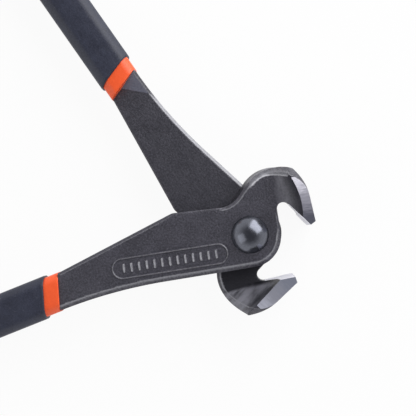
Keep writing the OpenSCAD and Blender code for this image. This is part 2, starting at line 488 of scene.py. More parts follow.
@dataclass(frozen=True)
class RivetSteel:
    """Blackened steel of the rivet, polished on its dome."""

    name: str = "rivet_steel"
    dark: Colour = (0.115, 0.120, 0.145, 1)
    light: Colour = (0.18, 0.187, 0.218, 1)
    roughness: float = 0.235
    metallic: float = 0.95
    mottle_scale: float = 1.5
    fine_scale: float = 5.0
    dent_m: float = 0.0004

    def material(self) -> bpy.types.Material:
        """Builds the material.

        Returns:
            The material.
        """
        g = Graph(bpy.data.materials.new(self.name))
        place = g.place()
        mottle = g.noise(place, self.mottle_scale, 3, 0.6)
        fine = g.noise(place, self.fine_scale, 2)
        return g.surface({
            "Base Color": g.mix(mottle.eased(-0.2, 1.2), self.dark, self.light), "Metallic": self.metallic,
            "Roughness": self.roughness + (mottle - 0.5) * 0.14 + (fine - 0.5) * 0.08,
            "Normal": g.bump(mottle * 0.7 + fine * 0.3, 0.015, self.dent_m)})


@dataclass(frozen=True)
class SleevePlastic:
    """Soft dipped plastic: satin, faintly grained and a little uneven."""

    name: str
    base: Colour
    shade: Colour
    fleck: Colour
    roughness: float
    grain: float
    grain_scale: float = 2.2
    flow_scale: float = 0.22
    fleck_scale: float = 1.3
    grain_m: float = 0.00025
    flow_m: float = 0.0008

    def material(self) -> bpy.types.Material:
        """Builds the material.

        Returns:
            The material.
        """
        g = Graph(bpy.data.materials.new(self.name))
        place = g.place()
        grain = g.noise(place, self.grain_scale, 4, 0.7)
        flow = g.noise(place, self.flow_scale)
        flecks = g.noise(place, self.fleck_scale, 2, 0.5).eased(0.66, 0.76)
        tone = (grain * 0.7 + flow * 0.3).eased(0.3, 0.7)
        skin = g.bump(grain, self.grain, self.grain_m)
        return g.surface({
            "Base Color": g.mix(flecks * 0.5, g.mix(tone, self.shade, self.base), self.fleck),
            "Roughness": self.roughness + (grain - 0.5) * 0.2 + (flow - 0.5) * 0.12,
            "Normal": g.bump(flow, 0.3, self.flow_m, skin), "Specular IOR Level": 0.45})


class Shell:
    """A mesh under construction in a lever's frame, in millimetres."""

    def __init__(self) -> None:
        """Starts empty."""
        self.points: list[np.ndarray] = []
        self.faces: list[tuple[int, ...]] = []
        self.regions: list[int] = []
        # Marks: edge wearing with painted glints, scoring with a painted sheen, and painted shade.
        self.marks: dict[str, list[np.ndarray]] = {"wear": [], "scored_and_sheen": [], "lap": []}
        self.count = 0

    def add_points(self, points: np.ndarray, **marks: np.ndarray) -> int:
        """Adds points.

        Args:
            points: rows of x, y, z.
            marks: how worn with painted glint, how streaked with scoring and painted sheen, and how darkened
                by painted shade each point is, where it is.

        Returns:
            The index of the first one.
        """
        first = self.count
        self.points.append(np.asarray(points, float))
        for name, values in self.marks.items():
            values.append(np.asarray(marks.get(name, np.zeros(len(points))), float))
        self.count += len(points)
        return first

    def add_faces(self, faces: Iterable[Sequence[int]], region: Region = Region.FORGED) -> None:
        """Adds faces of one finish.

        Args:
            faces: the indices of each face's points.
            region: the surface that they belong to.
        """
        for face in faces:
            self.faces.append(tuple(int(i) for i in face))
            self.regions.append(region.value)

    def add_rings(self, rings: Sequence[np.ndarray], front: Region = Region.FORGED) -> None:
        """Skins a row of like rings and closes both ends to their middles.

        Args:
            rings: one array of points a ring, all wound the same way.
            front: the surface that the first end belongs to.
        """
        size = len(rings[0])
        first = self.add_points(np.vstack(rings))
        for k in range(len(rings) - 1):
            a, b = first + k * size, first + (k + 1) * size
            self.add_faces((a + i, a + (i + 1) % size, b + (i + 1) % size, b + i) for i in range(size))
        last = first + (len(rings) - 1) * size
        ends = ((first, rings[0], -1, front), (last, rings[-1], 1, Region.FORGED))
        for start, ring, turn, region in ends:
            pole = self.add_points(ring.mean(0)[None])
            fan = ((start + i, start + (i + 1) % size, pole)[::turn] for i in range(size))
            self.add_faces(fan, region)

    def build(self, name: str, stance: Stance, finishes: Sequence[bpy.types.Material],
              crisp: float) -> bpy.types.Object:
        """Makes the Blender object.

        Args:
            name: the object's name.
            stance: where its lever lies.
            finishes: materials in the order of the regions.
            crisp: angle above which edges stay sharp, degrees.

        Returns:
            The object, linked to the scene.
        """
        local = np.vstack(self.points)
        mesh = bpy.data.meshes.new(name)
        mesh.from_pydata(stance.place(local).tolist(), [], self.faces)
        mesh.polygons.foreach_set("material_index", np.array(self.regions, np.int32))
        mesh.polygons.foreach_set("use_smooth", np.ones(len(self.faces), bool))
        lever_mm = mesh.attributes.new("lever_mm", "FLOAT_VECTOR", "POINT")
        lever_mm.data.foreach_set("vector", local.ravel().astype(np.float32))
        for mark, values in self.marks.items():
            attribute = mesh.attributes.new(mark, "FLOAT", "POINT")
            attribute.data.foreach_set("value", np.concatenate(values).astype(np.float32))
        for finish in finishes:
            mesh.materials.append(finish)
        mesh.validate()
        mesh.update()
        mesh.set_sharp_from_angle(angle=math.radians(crisp))
        made = bpy.data.objects.new(name, mesh)
        bpy.context.scene.collection.objects.link(made)
        return made


@dataclass(frozen=True)
class LeverSizes:
    """Sizes of one lever, drawn closed with its pivot at the origin, jaw ahead on +X and outer face up."""

    plate_t: float = 6.0
    hub_r: float = 10.2
    under_y: float = 10.8
    neck_y: float = 10.4
    corner_x: float = 24.5
    corner_y: float = 11.3
    corner_r: float = 4.0
    shank_curve_r: float = 170.0
    jaw_half: float = 12.0
    edge_x: float = 20.0
    edge_gap: float = 0.05
    bevel_angle: float = 54.0
    lip_reach: float = 1.7
    lip_rise: float = 0.9
    face_straight: float = 8.1
    face_lean: float = 3.6
    face_r: float = 18.2
    back_r: float = 13.2
    back_x: float = 11.2
    back_y: float = 7.5
    flank_angle: float = 47.0
    flank_fillet_r: float = 9.0
    throat_r: float = 2.2
    ground_x: float = 17.1
    ground_crest: Point = (18.24, 6.5)
    ground_bow: float = 0.0213
    ground_top: float = 16.2
    lapped_top: float = 15.3
    scoop_x: float = 9.7
    scoop_dip: float = 0.1
    shoulder_d: float = 16.0
    shoulder_angle: float = 30.0
    flare_least: float = 0.8
    flare_slope: float = 0.34
    lap_z: float = 0.05
    hole_r: float = 4.0
    band_x: float = 66.2
    band_slant: float = 5.5
    handle_y: float = 8.5
    handle_slope: float = 12.4
    handle_straight: float = 44.8
    handle_bend_r: float = 160.0
    handle_bend: float = 22.0
    bead: float = 0.4
    tang_w: float = 11.3
    tang_t: float = 8.5
    tang_chamfer: float = 1.8
    tang_corner_r: float = 0.5
    tang_step: float = 0.35
    ramp_l: float = 9.7
    ramp_slant: float = 32.0
    ramp_land: float = 0.6
    panel_l: float = 39.6
    panel_w: float = 7.3
    panel_x: float = 27.7
    panel_y: float = 4.4
    panel_tilt: float = 0.5
    rim_w: float = 0.8
    rim_h: float = 0.4
    rim_flat: float = 0.25
    rib_flat: float = 0.3
    rib_count: int = 13
    rib_pitch: float = 2.6
    rib_l: float = 3.4
    rib_w: float = 1.15
    rib_h: float = 0.36

    @property
    def handle_heading(self) -> float:
        """Heading of the straight stretch of the handle, degrees."""
        return 180 + self.handle_slope

    @property
    def handle_start(self) -> np.ndarray:
        """Middle of the handle at the end of the bare steel."""
        return np.array([-self.band_x, -self.handle_y])

    @property
    def shank_end(self) -> tuple[np.ndarray, np.ndarray]:
        """Finds the corners of the bare steel's end.

        Returns:
            The lower and the upper one.
        """
        lean = math.radians(self.handle_slope + self.band_slant)
        half = (self.tang_w / 2 + self.tang_step) / math.cos(lean)
        return tuple(along(self.handle_start, side * half, 90 - self.band_slant) for side in (-1, 1))

    @property
    def handle_z(self) -> float:
        """Height of the handle's middle."""
        return self.plate_t - self.tang_t / 2

    @property
    def handle_l(self) -> float:
        """Length of the handle's middle line up to its rounded end."""
        return self.handle_straight + math.radians(self.handle_bend) * self.handle_bend_r

    @property
    def tang_drop(self) -> float:
        """How far the tang reaches below the lapped face."""
        return self.tang_t - self.plate_t + self.lap_z

    @property
    def last_rib(self) -> float:
        """Number of pitches from the panel's middle to its last rib."""
        return (self.rib_count - 1) / 2

    def handle_point(self, distance: float) -> tuple[np.ndarray, float]:
        """Gives a point of the handle's middle line.

        Args:
            distance: how far behind the end of the bare steel.

        Returns:
            The point and the heading there, degrees.
        """
        if distance <= self.handle_straight:
            return along(self.handle_start, distance, self.handle_heading), self.handle_heading
        bend_start = along(self.handle_start, self.handle_straight, self.handle_heading)
        centre = along(bend_start, self.handle_bend_r, self.handle_heading - 90)
        gone = math.degrees((distance - self.handle_straight) / self.handle_bend_r)
        heading = self.handle_heading - gone
        return along(centre, self.handle_bend_r, heading + 90), heading


@dataclass(frozen=True)
class Break:
    """How an edge is broken: its width, its depth for a width of 1 and how worn it is, which also sets the
    painted glint along its crest.
    """

    width: Number = 0.0
    depth: Number = 0.62
    rub_and_glint: Number = 0.5


@dataclass(frozen=True)
class EdgeRun:
    """A run of a lever's outline, with its edge break on each side.

    The lapped side stands out beyond the outer one by the swell. A ground run is bright, and a hidden run is
    where the bare steel ends against the tang.
    """

    points: np.ndarray
    outer: Break = Break()
    lapped: Break = Break()
    swell: Number = 0.0
    ground: bool = False
    hidden: bool = False


@dataclass(frozen=True)
class LeverEdges:
    """Edge breaks of a lever, with stations for what changes on the way, and the steps of its outline.

    The nose's stations are heights, and all others are distances ahead of the pivot.
    """

    fine: float = 0.25
    coarse: float = 0.6
    throat_step: float = 0.2
    blend: float = 2.0
    bow: float = 0.25
    crest_w: float = 0.24
    hub: Break = Break(1.5, 0.6, 0.52)
    hub_side: Break = Break(0.7, 0.6, 0.4)
    hub_lapped: Break = Break(0.4)
    throat: Break = Break(0.3)
    nose_width: Stations = ((10.5, 0.0), (12.5, 0.15), (13.5, 0.35), (14.8, 0.7), (16.0, 1.25), (17.0, 1.7),
                            (18.0, 2.2), (19.2, 2.6))
    nose_depth: float = 1.0
    nose_rub_and_glint: float = 0.15
    nose_swell: Stations = ((10.0, 0.0), (15.0, 0.2), (19.0, 0.4))
    back_width: Stations = ((6.0, 1.7), (8.0, 1.9), (10.5, 2.4), (15.0, 2.9), (17.0, 2.9))
    back_depth: float = 0.6
    back_rub_and_glint: float = 0.82
    back_lapped: float = 0.8
    back_lapped_rub: float = 0.5
    back_swell: Stations = ((1.5, 1.3), (5.0, 1.1), (9.0, 0.75), (13.0, 0.45), (18.0, 0.4))
    flank: Break = Break(1.05, 0.62, 0.3)
    flank_lapped: Break = Break(1.2, 0.6, 0.5)
    plate_width: Stations = ((-30.0, 1.0), (-22.0, 0.55), (-9.0, 0.55), (-5.0, 0.9))
    plate_depth: Stations = ((-30.0, 0.62), (-22.0, 0.36), (-9.0, 0.36), (-5.0, 0.55))
    plate_rub_and_glint: float = 0.2
    plate_lapped: Break = Break(0.45, 0.6, 0.2)
    under: Break = Break(1.5, 0.5, 0.55)
    under_lapped: Point = (0.9, 0.6)
    under_lapped_rub: Stations = ((-57.0, 0.45), (-54.0, 0.75))


@dataclass(frozen=True)
class SkinMarks:
    """How strongly a lever's skin is worn with painted glints, streaked with scoring and painted sheen, and
    darkened by painted shade, and the ranges over which that sets in.

    Each pair for a crest or a band is its least share and what is added to that at most.
    """

    break_in: Point = (0.12, 0.4)
    broad_in: Point = (0.3, 0.9)
    # Painted glints along the crests of the edge breaks, and the worn bands inside them.
    outer_crest: Point = (0.5, 0.9)
    lapped_crest: Point = (0.68, 0.35)
    outer_band: Point = (0.75, 0.5)
    band_in: Point = (0.3, 0.9)
    # The raised rim and ribs are painted as worn, which also stands in for their highlights.
    rim_rub_and_glint: float = 0.62
    rim_in: Point = (0.12, 0.36)
    rib_in: Point = (0.1, 0.3)
    crown_in: Point = (0.0, 0.35)
    crown_width: Point = (1.2, 1.8)
    crown_reach: Point = (-1.5, 1.0)
    # Painted sheen with scoring across the middle of the scoop, then painted shade on its steep wall below
    # the crown.
    scoop_score_and_sheen: float = 0.3
    scoop_score_and_sheen_in: Point = (-0.1, 0.3)
    scoop_score_and_sheen_out: Point = (0.45, 0.75)
    scoop_shade: float = 0.42
    scoop_shade_in: Point = (0.5, 0.85)
    scoop_shade_out: Point = (-0.6, 0.6)
    # Scoring with a painted sheen on the lapped flare, fading to painted shade near the ground face and the
    # bevel.
    flare_score_and_sheen_in: Point = (0.0, 0.12)
    flare_score_and_sheen_out: Point = (0.5, 1.0)
    flare_left: float = 0.4
    flare_left_in: Point = (2.0, 6.0)
    bevel_shade_out: Point = (0.2, 1.6)
    # Painted shade on the lapped face: least away from the hub, full near it where the other lever shades it,
    # and faint past the flare.
    plate_lap: float = 0.35
    hub_lap_in: Point = (-18.0, -2.0)
    rim_lap: float = 0.2


class LeverForm:
    """Outline, heights and marks of a lever, worked out from its sizes."""

    def __init__(self, sizes: LeverSizes, edges: LeverEdges, marks: SkinMarks) -> None:
        """Draws the outline.

        Args:
            sizes: the lever's sizes.
            edges: its edge breaks.
            marks: its worn edges with painted glints, its scoring with painted sheen and its painted shade.
        """
        self.s, self.edges, self.marks = sizes, edges, marks
        runs = self.runs()
        outline = np.vstack([r.points for r in runs])
        way = ways(outline)
        self.ground = self.spread(runs, lambda r: r.ground).astype(bool)
        self.hidden = self.spread(runs, lambda r: r.hidden).astype(bool)
        swell = self.eased(outline, self.spread(runs, lambda r: r.swell))
        swollen = outline + np.stack([way[:, 1], -way[:, 0]], 1) * swell[:, None]
        self.outlines = {Face.OUTER: outline, Face.LAPPED: swollen}
        self.breaks: dict[tuple[Face, str], np.ndarray] = {}
        for face in Face:
            for name in ("width", "depth", "rub_and_glint"):
                values = self.spread(runs, lambda r: getattr(getattr(r, face.value), name))
                self.breaks[face, name] = self.eased(outline, values)

    @staticmethod
    def spread(runs: Sequence[EdgeRun], pick: Callable[[EdgeRun], Number]) -> np.ndarray:
        """Gives what is picked from each run, one value or a value a point, at every outline point."""
        parts = [np.broadcast_to(np.asarray(pick(r), float), (len(r.points),)) for r in runs]
        return np.concatenate(parts)

    def runs(self) -> list[EdgeRun]:
        """Draws the outline counter-clockwise from under the hub.

        Returns:
            Its runs in order.
        """
        s, e = self.s, self.edges
        hub_y = s.hub_r - s.under_y
        throat = self.throat()
        bevel_top = along(throat, s.throat_r, 90 - s.bevel_angle)
        edge = (s.edge_x, s.edge_gap)
        tip = np.array([s.edge_x + s.lip_reach, s.edge_gap + s.lip_rise])
        low, high = s.shank_end
        return [EdgeRun(arc((0, hub_y), s.hub_r, -90, 0, e.fine), e.hub, e.hub_lapped),
                EdgeRun(line((s.hub_r, hub_y), (s.hub_r, throat[1]), e.fine), e.hub_side, e.hub_lapped),
                EdgeRun(arc(throat, s.throat_r, 180, 90 - s.bevel_angle, e.throat_step), e.throat, e.throat),
                EdgeRun(line(bevel_top, edge, e.fine), ground=True),
                EdgeRun(line(edge, tip, e.fine), ground=True),
                *self.upper_runs(tip, high),
                EdgeRun(line(high, low, e.coarse), hidden=True),
                self.under_run(low)]

    def throat(self) -> np.ndarray:
        """Finds the middle of the throat's round, which touches the hub's side and the bevel.

        Returns:
            The point.
        """
        s = self.s
        x = s.hub_r + s.throat_r
        a = math.radians(s.bevel_angle)
        return np.array([x, s.edge_gap + ((s.edge_x - x) * math.sin(a) - s.throat_r) / math.cos(a)])

    def upper_runs(self, tip: np.ndarray, high: np.ndarray) -> list[EdgeRun]:
        """Draws the outline from the jaw's tip over its back to the end of the bare steel.

        Args:
            tip: outer end of the lip below the jaw's face.
            high: upper corner of the bare steel's end.

        Returns:
            The runs of the nose, the back, the flank and the plate.
        """
        s, e = self.s, self.edges
        face_top = along(tip, s.face_straight, 90 + s.face_lean)
        face_centre = along(face_top, s.face_r, 180 + s.face_lean)
        back_centre = np.array([s.back_x, s.back_y])
        crown = self.crown(face_centre, back_centre)
        flank_top = along(back_centre, s.back_r, 90 + s.flank_angle)
        a = math.radians(s.flank_angle)
        drop = s.neck_y + s.flank_fillet_r - flank_top[1]
        fillet_x = flank_top[0] - (s.flank_fillet_r - math.cos(a) * drop) / math.sin(a)
        fillet = np.array([fillet_x, s.neck_y + s.flank_fillet_r])
        flank_low = along(fillet, s.flank_fillet_r, s.flank_angle - 90)
        nose = np.vstack([line(tip, face_top, e.fine),
                          arc(face_centre, s.face_r, s.face_lean, bearing(face_centre, crown), e.fine)])
        nose_break = Break(between(e.nose_width, nose[:, 1]), e.nose_depth, e.nose_rub_and_glint)
        back = arc(back_centre, s.back_r, bearing(back_centre, crown), 90 + s.flank_angle, e.fine)
        back_width = between(e.back_width, back[:, 0])
        back_lapped = Break(back_width * e.back_lapped, e.back_depth, e.back_lapped_rub)
        flank = np.vstack([line(flank_top, flank_low, e.fine),
                           arc(fillet, s.flank_fillet_r, s.flank_angle - 90, -90, e.fine)])
        flank_swell = between(((fillet_x, 0.0), (flank_top[0], e.back_swell[0][1])), flank[:, 0])
        corner = np.array([-s.corner_x, s.corner_y])
        plate = self.rounded_corner((fillet_x, s.neck_y), corner, high, s.corner_r, e.coarse)
        plate_sizes = (between(stations, plate[:, 0]) for stations in (e.plate_width, e.plate_depth))
        return [EdgeRun(nose, nose_break, nose_break, between(e.nose_swell, nose[:, 1])),
                EdgeRun(back, Break(back_width, e.back_depth, e.back_rub_and_glint), back_lapped,
                        between(e.back_swell, back[:, 0])),
                EdgeRun(flank, e.flank, e.flank_lapped, flank_swell),
                EdgeRun(plate, Break(*plate_sizes, e.plate_rub_and_glint), e.plate_lapped)]

    def under_run(self, low: np.ndarray) -> EdgeRun:
        """Draws the lower edge from the end of the bare steel to under the hub.

        Args:
            low: lower corner of the bare steel's end.

        Returns:
            The run.
        """
        s, e = self.s, self.edges
        reach = s.shank_curve_r * math.tan(math.radians(s.handle_slope / 2))
        knee_x = low[0] - (s.under_y + low[1]) / math.tan(math.radians(s.handle_slope))
        centre = np.array([knee_x + reach, -s.under_y - s.shank_curve_r])
        curve_start = along([knee_x, -s.under_y], reach, s.handle_heading)
        under = np.vstack([line(low, curve_start, e.coarse),
                           arc(centre, s.shank_curve_r, 90 + s.handle_slope, 90, e.coarse),
                           line((centre[0], -s.under_y), (0, -s.under_y), e.coarse)])
        return EdgeRun(under, e.under, Break(*e.under_lapped, between(e.under_lapped_rub, under[:, 0])))

    def crown(self, face_centre: np.ndarray, back_centre: np.ndarray) -> np.ndarray:
        """Finds the upper corner where the face meets the rounded back.

        Args:
            face_centre: middle of the face's circle.
            back_centre: middle of the back's circle.

        Returns:
            The upper of the two points that the circles share.
        """
        apart = face_centre - back_centre
        gap = np.linalg.norm(apart)
        reach = (gap ** 2 + self.s.back_r ** 2 - self.s.face_r ** 2) / (2 * gap)
        rise = math.sqrt(self.s.back_r ** 2 - reach ** 2)
        unit = apart / gap
        across = np.array([-unit[1], unit[0]])
        shared = [back_centre + unit * reach + sign * rise * across for sign in (1, -1)]
        return max(shared, key=lambda p: p[1])

    @staticmethod
    def rounded_corner(start: Sequence[float], corner: np.ndarray, end: np.ndarray, radius: float,
                       step: float) -> np.ndarray:
        """Draws two straight runs with a rounded corner between them.

        Args:
            start: first point.
            corner: where the runs would meet.
            end: point that the second run stops short of.
            radius: radius of the corner.
            step: longest distance between samples.

        Returns:
            The samples.
        """
        u = (np.array(start) - corner) / np.linalg.norm(np.array(start) - corner)
        v = (end - corner) / np.linalg.norm(end - corner)
        half = math.acos(float(np.clip(u @ v, -1, 1))) / 2
        back = radius / math.tan(half)
        centre = corner + (u + v) / np.linalg.norm(u + v) * radius / math.sin(half)
        first, last = (bearing(centre, corner + w * back) for w in (u, v))
        last += 360 * round((first - last) / 360)
        return np.vstack([line(start, corner + u * back, step), arc(centre, radius, first, last, step),
                          line(corner + v * back, end, step)])

    def eased(self, outline: np.ndarray, values: np.ndarray) -> np.ndarray:
        """Lets values of neighbouring runs flow into each other, but keeps sharp stretches sharp.

        Args:
            outline: the outline's points.
            values: a value at each of them.

        Returns:
            The blended values.
        """
        step = np.linalg.norm(np.roll(outline, -1, 0) - outline, axis=1)
        out = np.zeros_like(values)
        for i in range(len(values)):
            ahead = np.cumsum(np.roll(step, -i))
            gone = np.concatenate([[0], ahead[:-1]])
            near = np.roll(values, -i)
            weight = np.maximum(0, 1 - np.minimum(gone, ahead[-1] - gone) / self.edges.blend) * (near != 0)
            out[i] = (near * weight).sum() / max(weight.sum(), TINY)
        return np.where(values == 0, 0, out)

    def nearest(self, plan: np.ndarray, face: Face) -> tuple[np.ndarray, dict[str, np.ndarray]]:
        """Measures how far plan points lie inside the outline.

        Args:
            plan: rows of x, y.
            face: side of the lever.

        Returns:
            The distance to the outline, and the edge break's width, depth and wearing with painted glint at
            the nearest point.
        """
        a = self.outlines[face]
        ab = np.roll(a, -1, 0) - a
        size = (ab ** 2).sum(1)
        distance, index, share = np.empty(len(plan)), np.empty(len(plan), int), np.empty(len(plan))
        for k in range(0, len(plan), CHUNK):
            part = slice(k, k + CHUNK)
            p = plan[part, None]
            t = np.clip(((p - a) * ab).sum(2) / size, 0, 1)
            d = np.linalg.norm(p - a - ab * t[..., None], axis=2) + np.where(self.hidden, FAR, 0)
            i = d.argmin(1)
            rows = np.arange(len(i))
            distance[part], index[part], share[part] = d[rows, i], i, t[rows, i]
        found = {}
        for name in ("width", "depth", "rub_and_glint"):
            values = self.breaks[face, name]
            found[name] = values[index] + (np.roll(values, -1)[index] - values[index]) * share
        return distance, found

    def inside(self, plan: np.ndarray, face: Face) -> np.ndarray:
        """Tells which plan points lie inside the outline.

        Args:
            plan: rows of x, y.
            face: side of the lever.

        Returns:
            True for each point inside.
        """
        a = self.outlines[face]
        b = np.roll(a, -1, 0)
        x, y = plan[:, 0:1], plan[:, 1:2]
        crosses = (a[:, 1] > y) != (b[:, 1] > y)
        with np.errstate(divide="ignore", invalid="ignore"):
            at = a[:, 0] + (y - a[:, 1]) * (b[:, 0] - a[:, 0]) / (b[:, 1] - a[:, 1])
        return (np.where(crosses, x < at, False).sum(1) % 2) == 1

    def ground_line(self, y: np.ndarray, face: Face) -> np.ndarray:
        """Gives the inner edge of a ground side face.

        Args:
            y: heights to give it at.
            face: side of the lever.

        Returns:
            Its distances ahead of the pivot.
        """
        if face is Face.LAPPED:
            return np.full_like(y, self.s.ground_x)
        crest, up = self.s.ground_crest
        return crest - self.s.ground_bow * (y - up) ** 2

    def crescent_top(self, face: Face) -> float:
        """Height at which a ground side face ends below the crown."""
        return self.s.ground_top if face is Face.OUTER else self.s.lapped_top

    def bevel_distance(self, plan: np.ndarray) -> np.ndarray:
        """Tells how far plan points lie from the line of the bevel."""
        a = math.radians(self.s.bevel_angle)
        return (plan[:, 0] - self.s.edge_x) * math.sin(a) + (plan[:, 1] - self.s.edge_gap) * math.cos(a)

    def panel_z(self, plan: np.ndarray) -> tuple[np.ndarray, np.ndarray]:
        """Heights of the panel's rim and of the row of ribs in it.

        Args:
            plan: rows of x, y.

        Returns:
            How far the rim and the ribs stand above the plate.
        """
        s = self.s
        q = turned(plan + np.array([s.panel_x, s.panel_y]), s.panel_tilt)
        straight = (s.panel_l - s.panel_w) / 2
        across = np.hypot(q[:, 0] - np.clip(q[:, 0], -straight, straight), q[:, 1])
        rim = np.abs(across - (s.panel_w - s.rim_w) / 2) / (s.rim_w / 2)
        step = np.clip(np.round(q[:, 0] / s.rib_pitch), -s.last_rib, s.last_rib) * s.rib_pitch
        body = (s.rib_l - s.rib_w) / 2
        rib = np.hypot(q[:, 0] - step, q[:, 1] - np.clip(q[:, 1], -body, body)) / (s.rib_w / 2)
        rim_fall, rib_fall = smoothstep(s.rim_flat, 1.0, rim), smoothstep(s.rib_flat, 1.0, rib)
        return s.rim_h * (1 - rim_fall), s.rib_h * (1 - rib_fall)

    def outer_z(self, plan: np.ndarray) -> np.ndarray:
        """Height of the outer side before its edges are broken.

        Args:
            plan: rows of x, y.

        Returns:
            The heights.
        """
        s = self.s
        x = plan[:, 0]
        end = self.ground_line(plan[:, 1], Face.OUTER)
        rise = s.jaw_half - s.plate_t + s.scoop_dip
        r = ((end - s.scoop_x) ** 2 + rise ** 2) / (2 * rise)
        fall = np.sqrt(np.maximum(r * r - (np.minimum(x, end) - s.scoop_x) ** 2, 0))
        scoop = s.plate_t - s.scoop_dip + r - fall
        start = s.scoop_x - np.sqrt(2 * r * s.scoop_dip)
        jaw = np.where(x >= end - TINY, s.jaw_half, scoop)
        return np.where(x < start, s.plate_t + sum(self.panel_z(plan)), jaw)

    def flare_start(self, y: np.ndarray) -> np.ndarray:
        """Gives the foot of the lapped side's flare.

        Args:
            y: heights to give it at.

        Returns:
            Its distances ahead of the pivot.
        """
        s = self.s
        a = math.radians(s.shoulder_angle)
        return np.minimum((s.shoulder_d - y * math.sin(a)) / math.cos(a), s.ground_x - s.flare_least)

    def flare_share(self, plan: np.ndarray) -> np.ndarray:
        """Tells how far up the flare points lie, 0 at its foot and 1 at the ground face."""
        start = self.flare_start(plan[:, 1])
        return np.where(plan[:, 0] > 0, np.clip((plan[:, 0] - start) / (self.s.ground_x - start), 0, 1), 0)

    def ramp_frame(self) -> tuple[np.ndarray, np.ndarray, float]:
        """Finds the ramp that leads down to the tang.

        Returns:
            Its foot, its direction and its slope.
        """
        s = self.s
        low = s.shank_end[0]
        foot = low + s.ramp_l * np.array([1, math.tan(math.radians(s.handle_slope))])
        heading = math.radians(270 - s.ramp_slant)
        way = np.array([math.cos(heading), math.sin(heading)])
        return foot, way, s.tang_drop / ((low - foot) @ way - s.ramp_land)

    def lapped_z(self, plan: np.ndarray) -> np.ndarray:
        """Height of the lapped side before its edges are broken.

        Args:
            plan: rows of x, y.

        Returns:
            The heights.
        """
        s = self.s
        foot, way, slope = self.ramp_frame()
        drop = np.clip(((plan - foot) @ way) * slope, 0, s.tang_drop)
        t = self.flare_share(plan)
        bowl = 1 - np.sqrt(np.maximum(1 - t * t, 0))
        flare = (s.jaw_half + s.lap_z) * (s.flare_slope * t + (1 - s.flare_slope) * bowl)
        return s.lap_z - np.where(plan[:, 0] > 0, flare, drop)

    def height(self, plan: np.ndarray, face: Face) -> tuple[np.ndarray, np.ndarray]:
        """Finished height, and wearing with painted glints, of one side.

        Args:
            plan: rows of x, y.
            face: side of the lever.

        Returns:
            The heights, and how rubbed each point is.
        """
        s, m = self.s, self.marks
        distance, edge = self.nearest(plan, face)
        width, rub_and_glint = edge["width"], edge["rub_and_glint"]
        t = np.clip(1 - distance / np.maximum(width, TINY), 0, 1)
        bow = self.edges.bow
        taken = edge["depth"] * width * smoothstep(*m.break_in, width) * ((1 - bow) * t + bow * t * t)
        broad = smoothstep(*m.broad_in, width)
        least, more = m.outer_crest if face is Face.OUTER else m.lapped_crest
        # Painted glint: a bright line along the crest of each break.
        crest = np.exp(-((distance - width) / self.edges.crest_w) ** 2) * broad * (least + more * rub_and_glint)
        band = np.where(distance < width, rub_and_glint * broad, 0)
        if face is Face.LAPPED:
            return self.lapped_z(plan) + taken, np.maximum(crest, band)
        rim, ribs = self.panel_z(plan)
        # The raised rim and ribs are painted bright, both as worn metal and as their highlights.
        raised = np.maximum(m.rim_rub_and_glint * smoothstep(*m.rim_in, rim), smoothstep(*m.rib_in, ribs))
        band = band * (m.outer_band[0] + m.outer_band[1] * smoothstep(*m.band_in, 1 - t))
        wear = np.maximum(crest, band)
        first, last = s.scoop_x + m.crown_reach[0], s.ground_x + m.crown_reach[1]
        gentle = s.plate_t + (s.jaw_half - s.plate_t) * smoothstep(first, last, plan[:, 0])
        share = smoothstep(*m.crown_in, t) * smoothstep(*m.crown_width, width) * (plan[:, 1] > s.neck_y)
        z = self.outer_z(plan)
        return z + (gentle - z) * share - taken, np.maximum(wear, raised)

    def skin(self, plan: np.ndarray, face: Face) -> dict[str, np.ndarray]:
        """Tells where one side is streaked with scoring and painted sheen, and where painted shade darkens
        it.

        Args:
            plan: rows of x, y.
            face: side of the lever.

        Returns:
            Both marks by name, for each point.
        """
        s, m = self.s, self.marks
        if face is Face.OUTER:
            # Outer side: painted sheen with scoring across the scoop's middle, and painted shade on its steep
            # wall below the crown.
            share = (plan[:, 0] - s.scoop_x) / (self.ground_line(plan[:, 1], face) - s.scoop_x)
            scored_and_sheen = smoothstep(*m.scoop_score_and_sheen_in, share) * (1 - smoothstep(*m.scoop_score_and_sheen_out, share))
            below = 1 - smoothstep(*m.scoop_shade_out, plan[:, 1] - s.ground_top)
            return {"scored_and_sheen": m.scoop_score_and_sheen * scored_and_sheen,
                    "lap": m.scoop_shade * smoothstep(*m.scoop_shade_in, share) * below}
        share, inward = self.flare_share(plan), self.bevel_distance(plan)
        # Lapped side: scoring with a painted sheen over the flare, fading to painted shade near the ground
        # face and the bevel.
        left = m.flare_left * smoothstep(*m.flare_left_in, inward)
        fade = (1 - left) * smoothstep(*m.flare_score_and_sheen_out, share)
        scored_and_sheen = smoothstep(*m.flare_score_and_sheen_in, share) * (1 - fade)
        # Painted shade, strongest near the hub where the other lever shades the lapped face, and faint past
        # the flare.
        lap = m.plate_lap + (1 - m.plate_lap) * smoothstep(*m.hub_lap_in, plan[:, 0])
        return {"scored_and_sheen": scored_and_sheen * (share < 1) * smoothstep(*m.bevel_shade_out, inward),
                "lap": lap * np.where(share < 1, 1.0, m.rim_lap)}


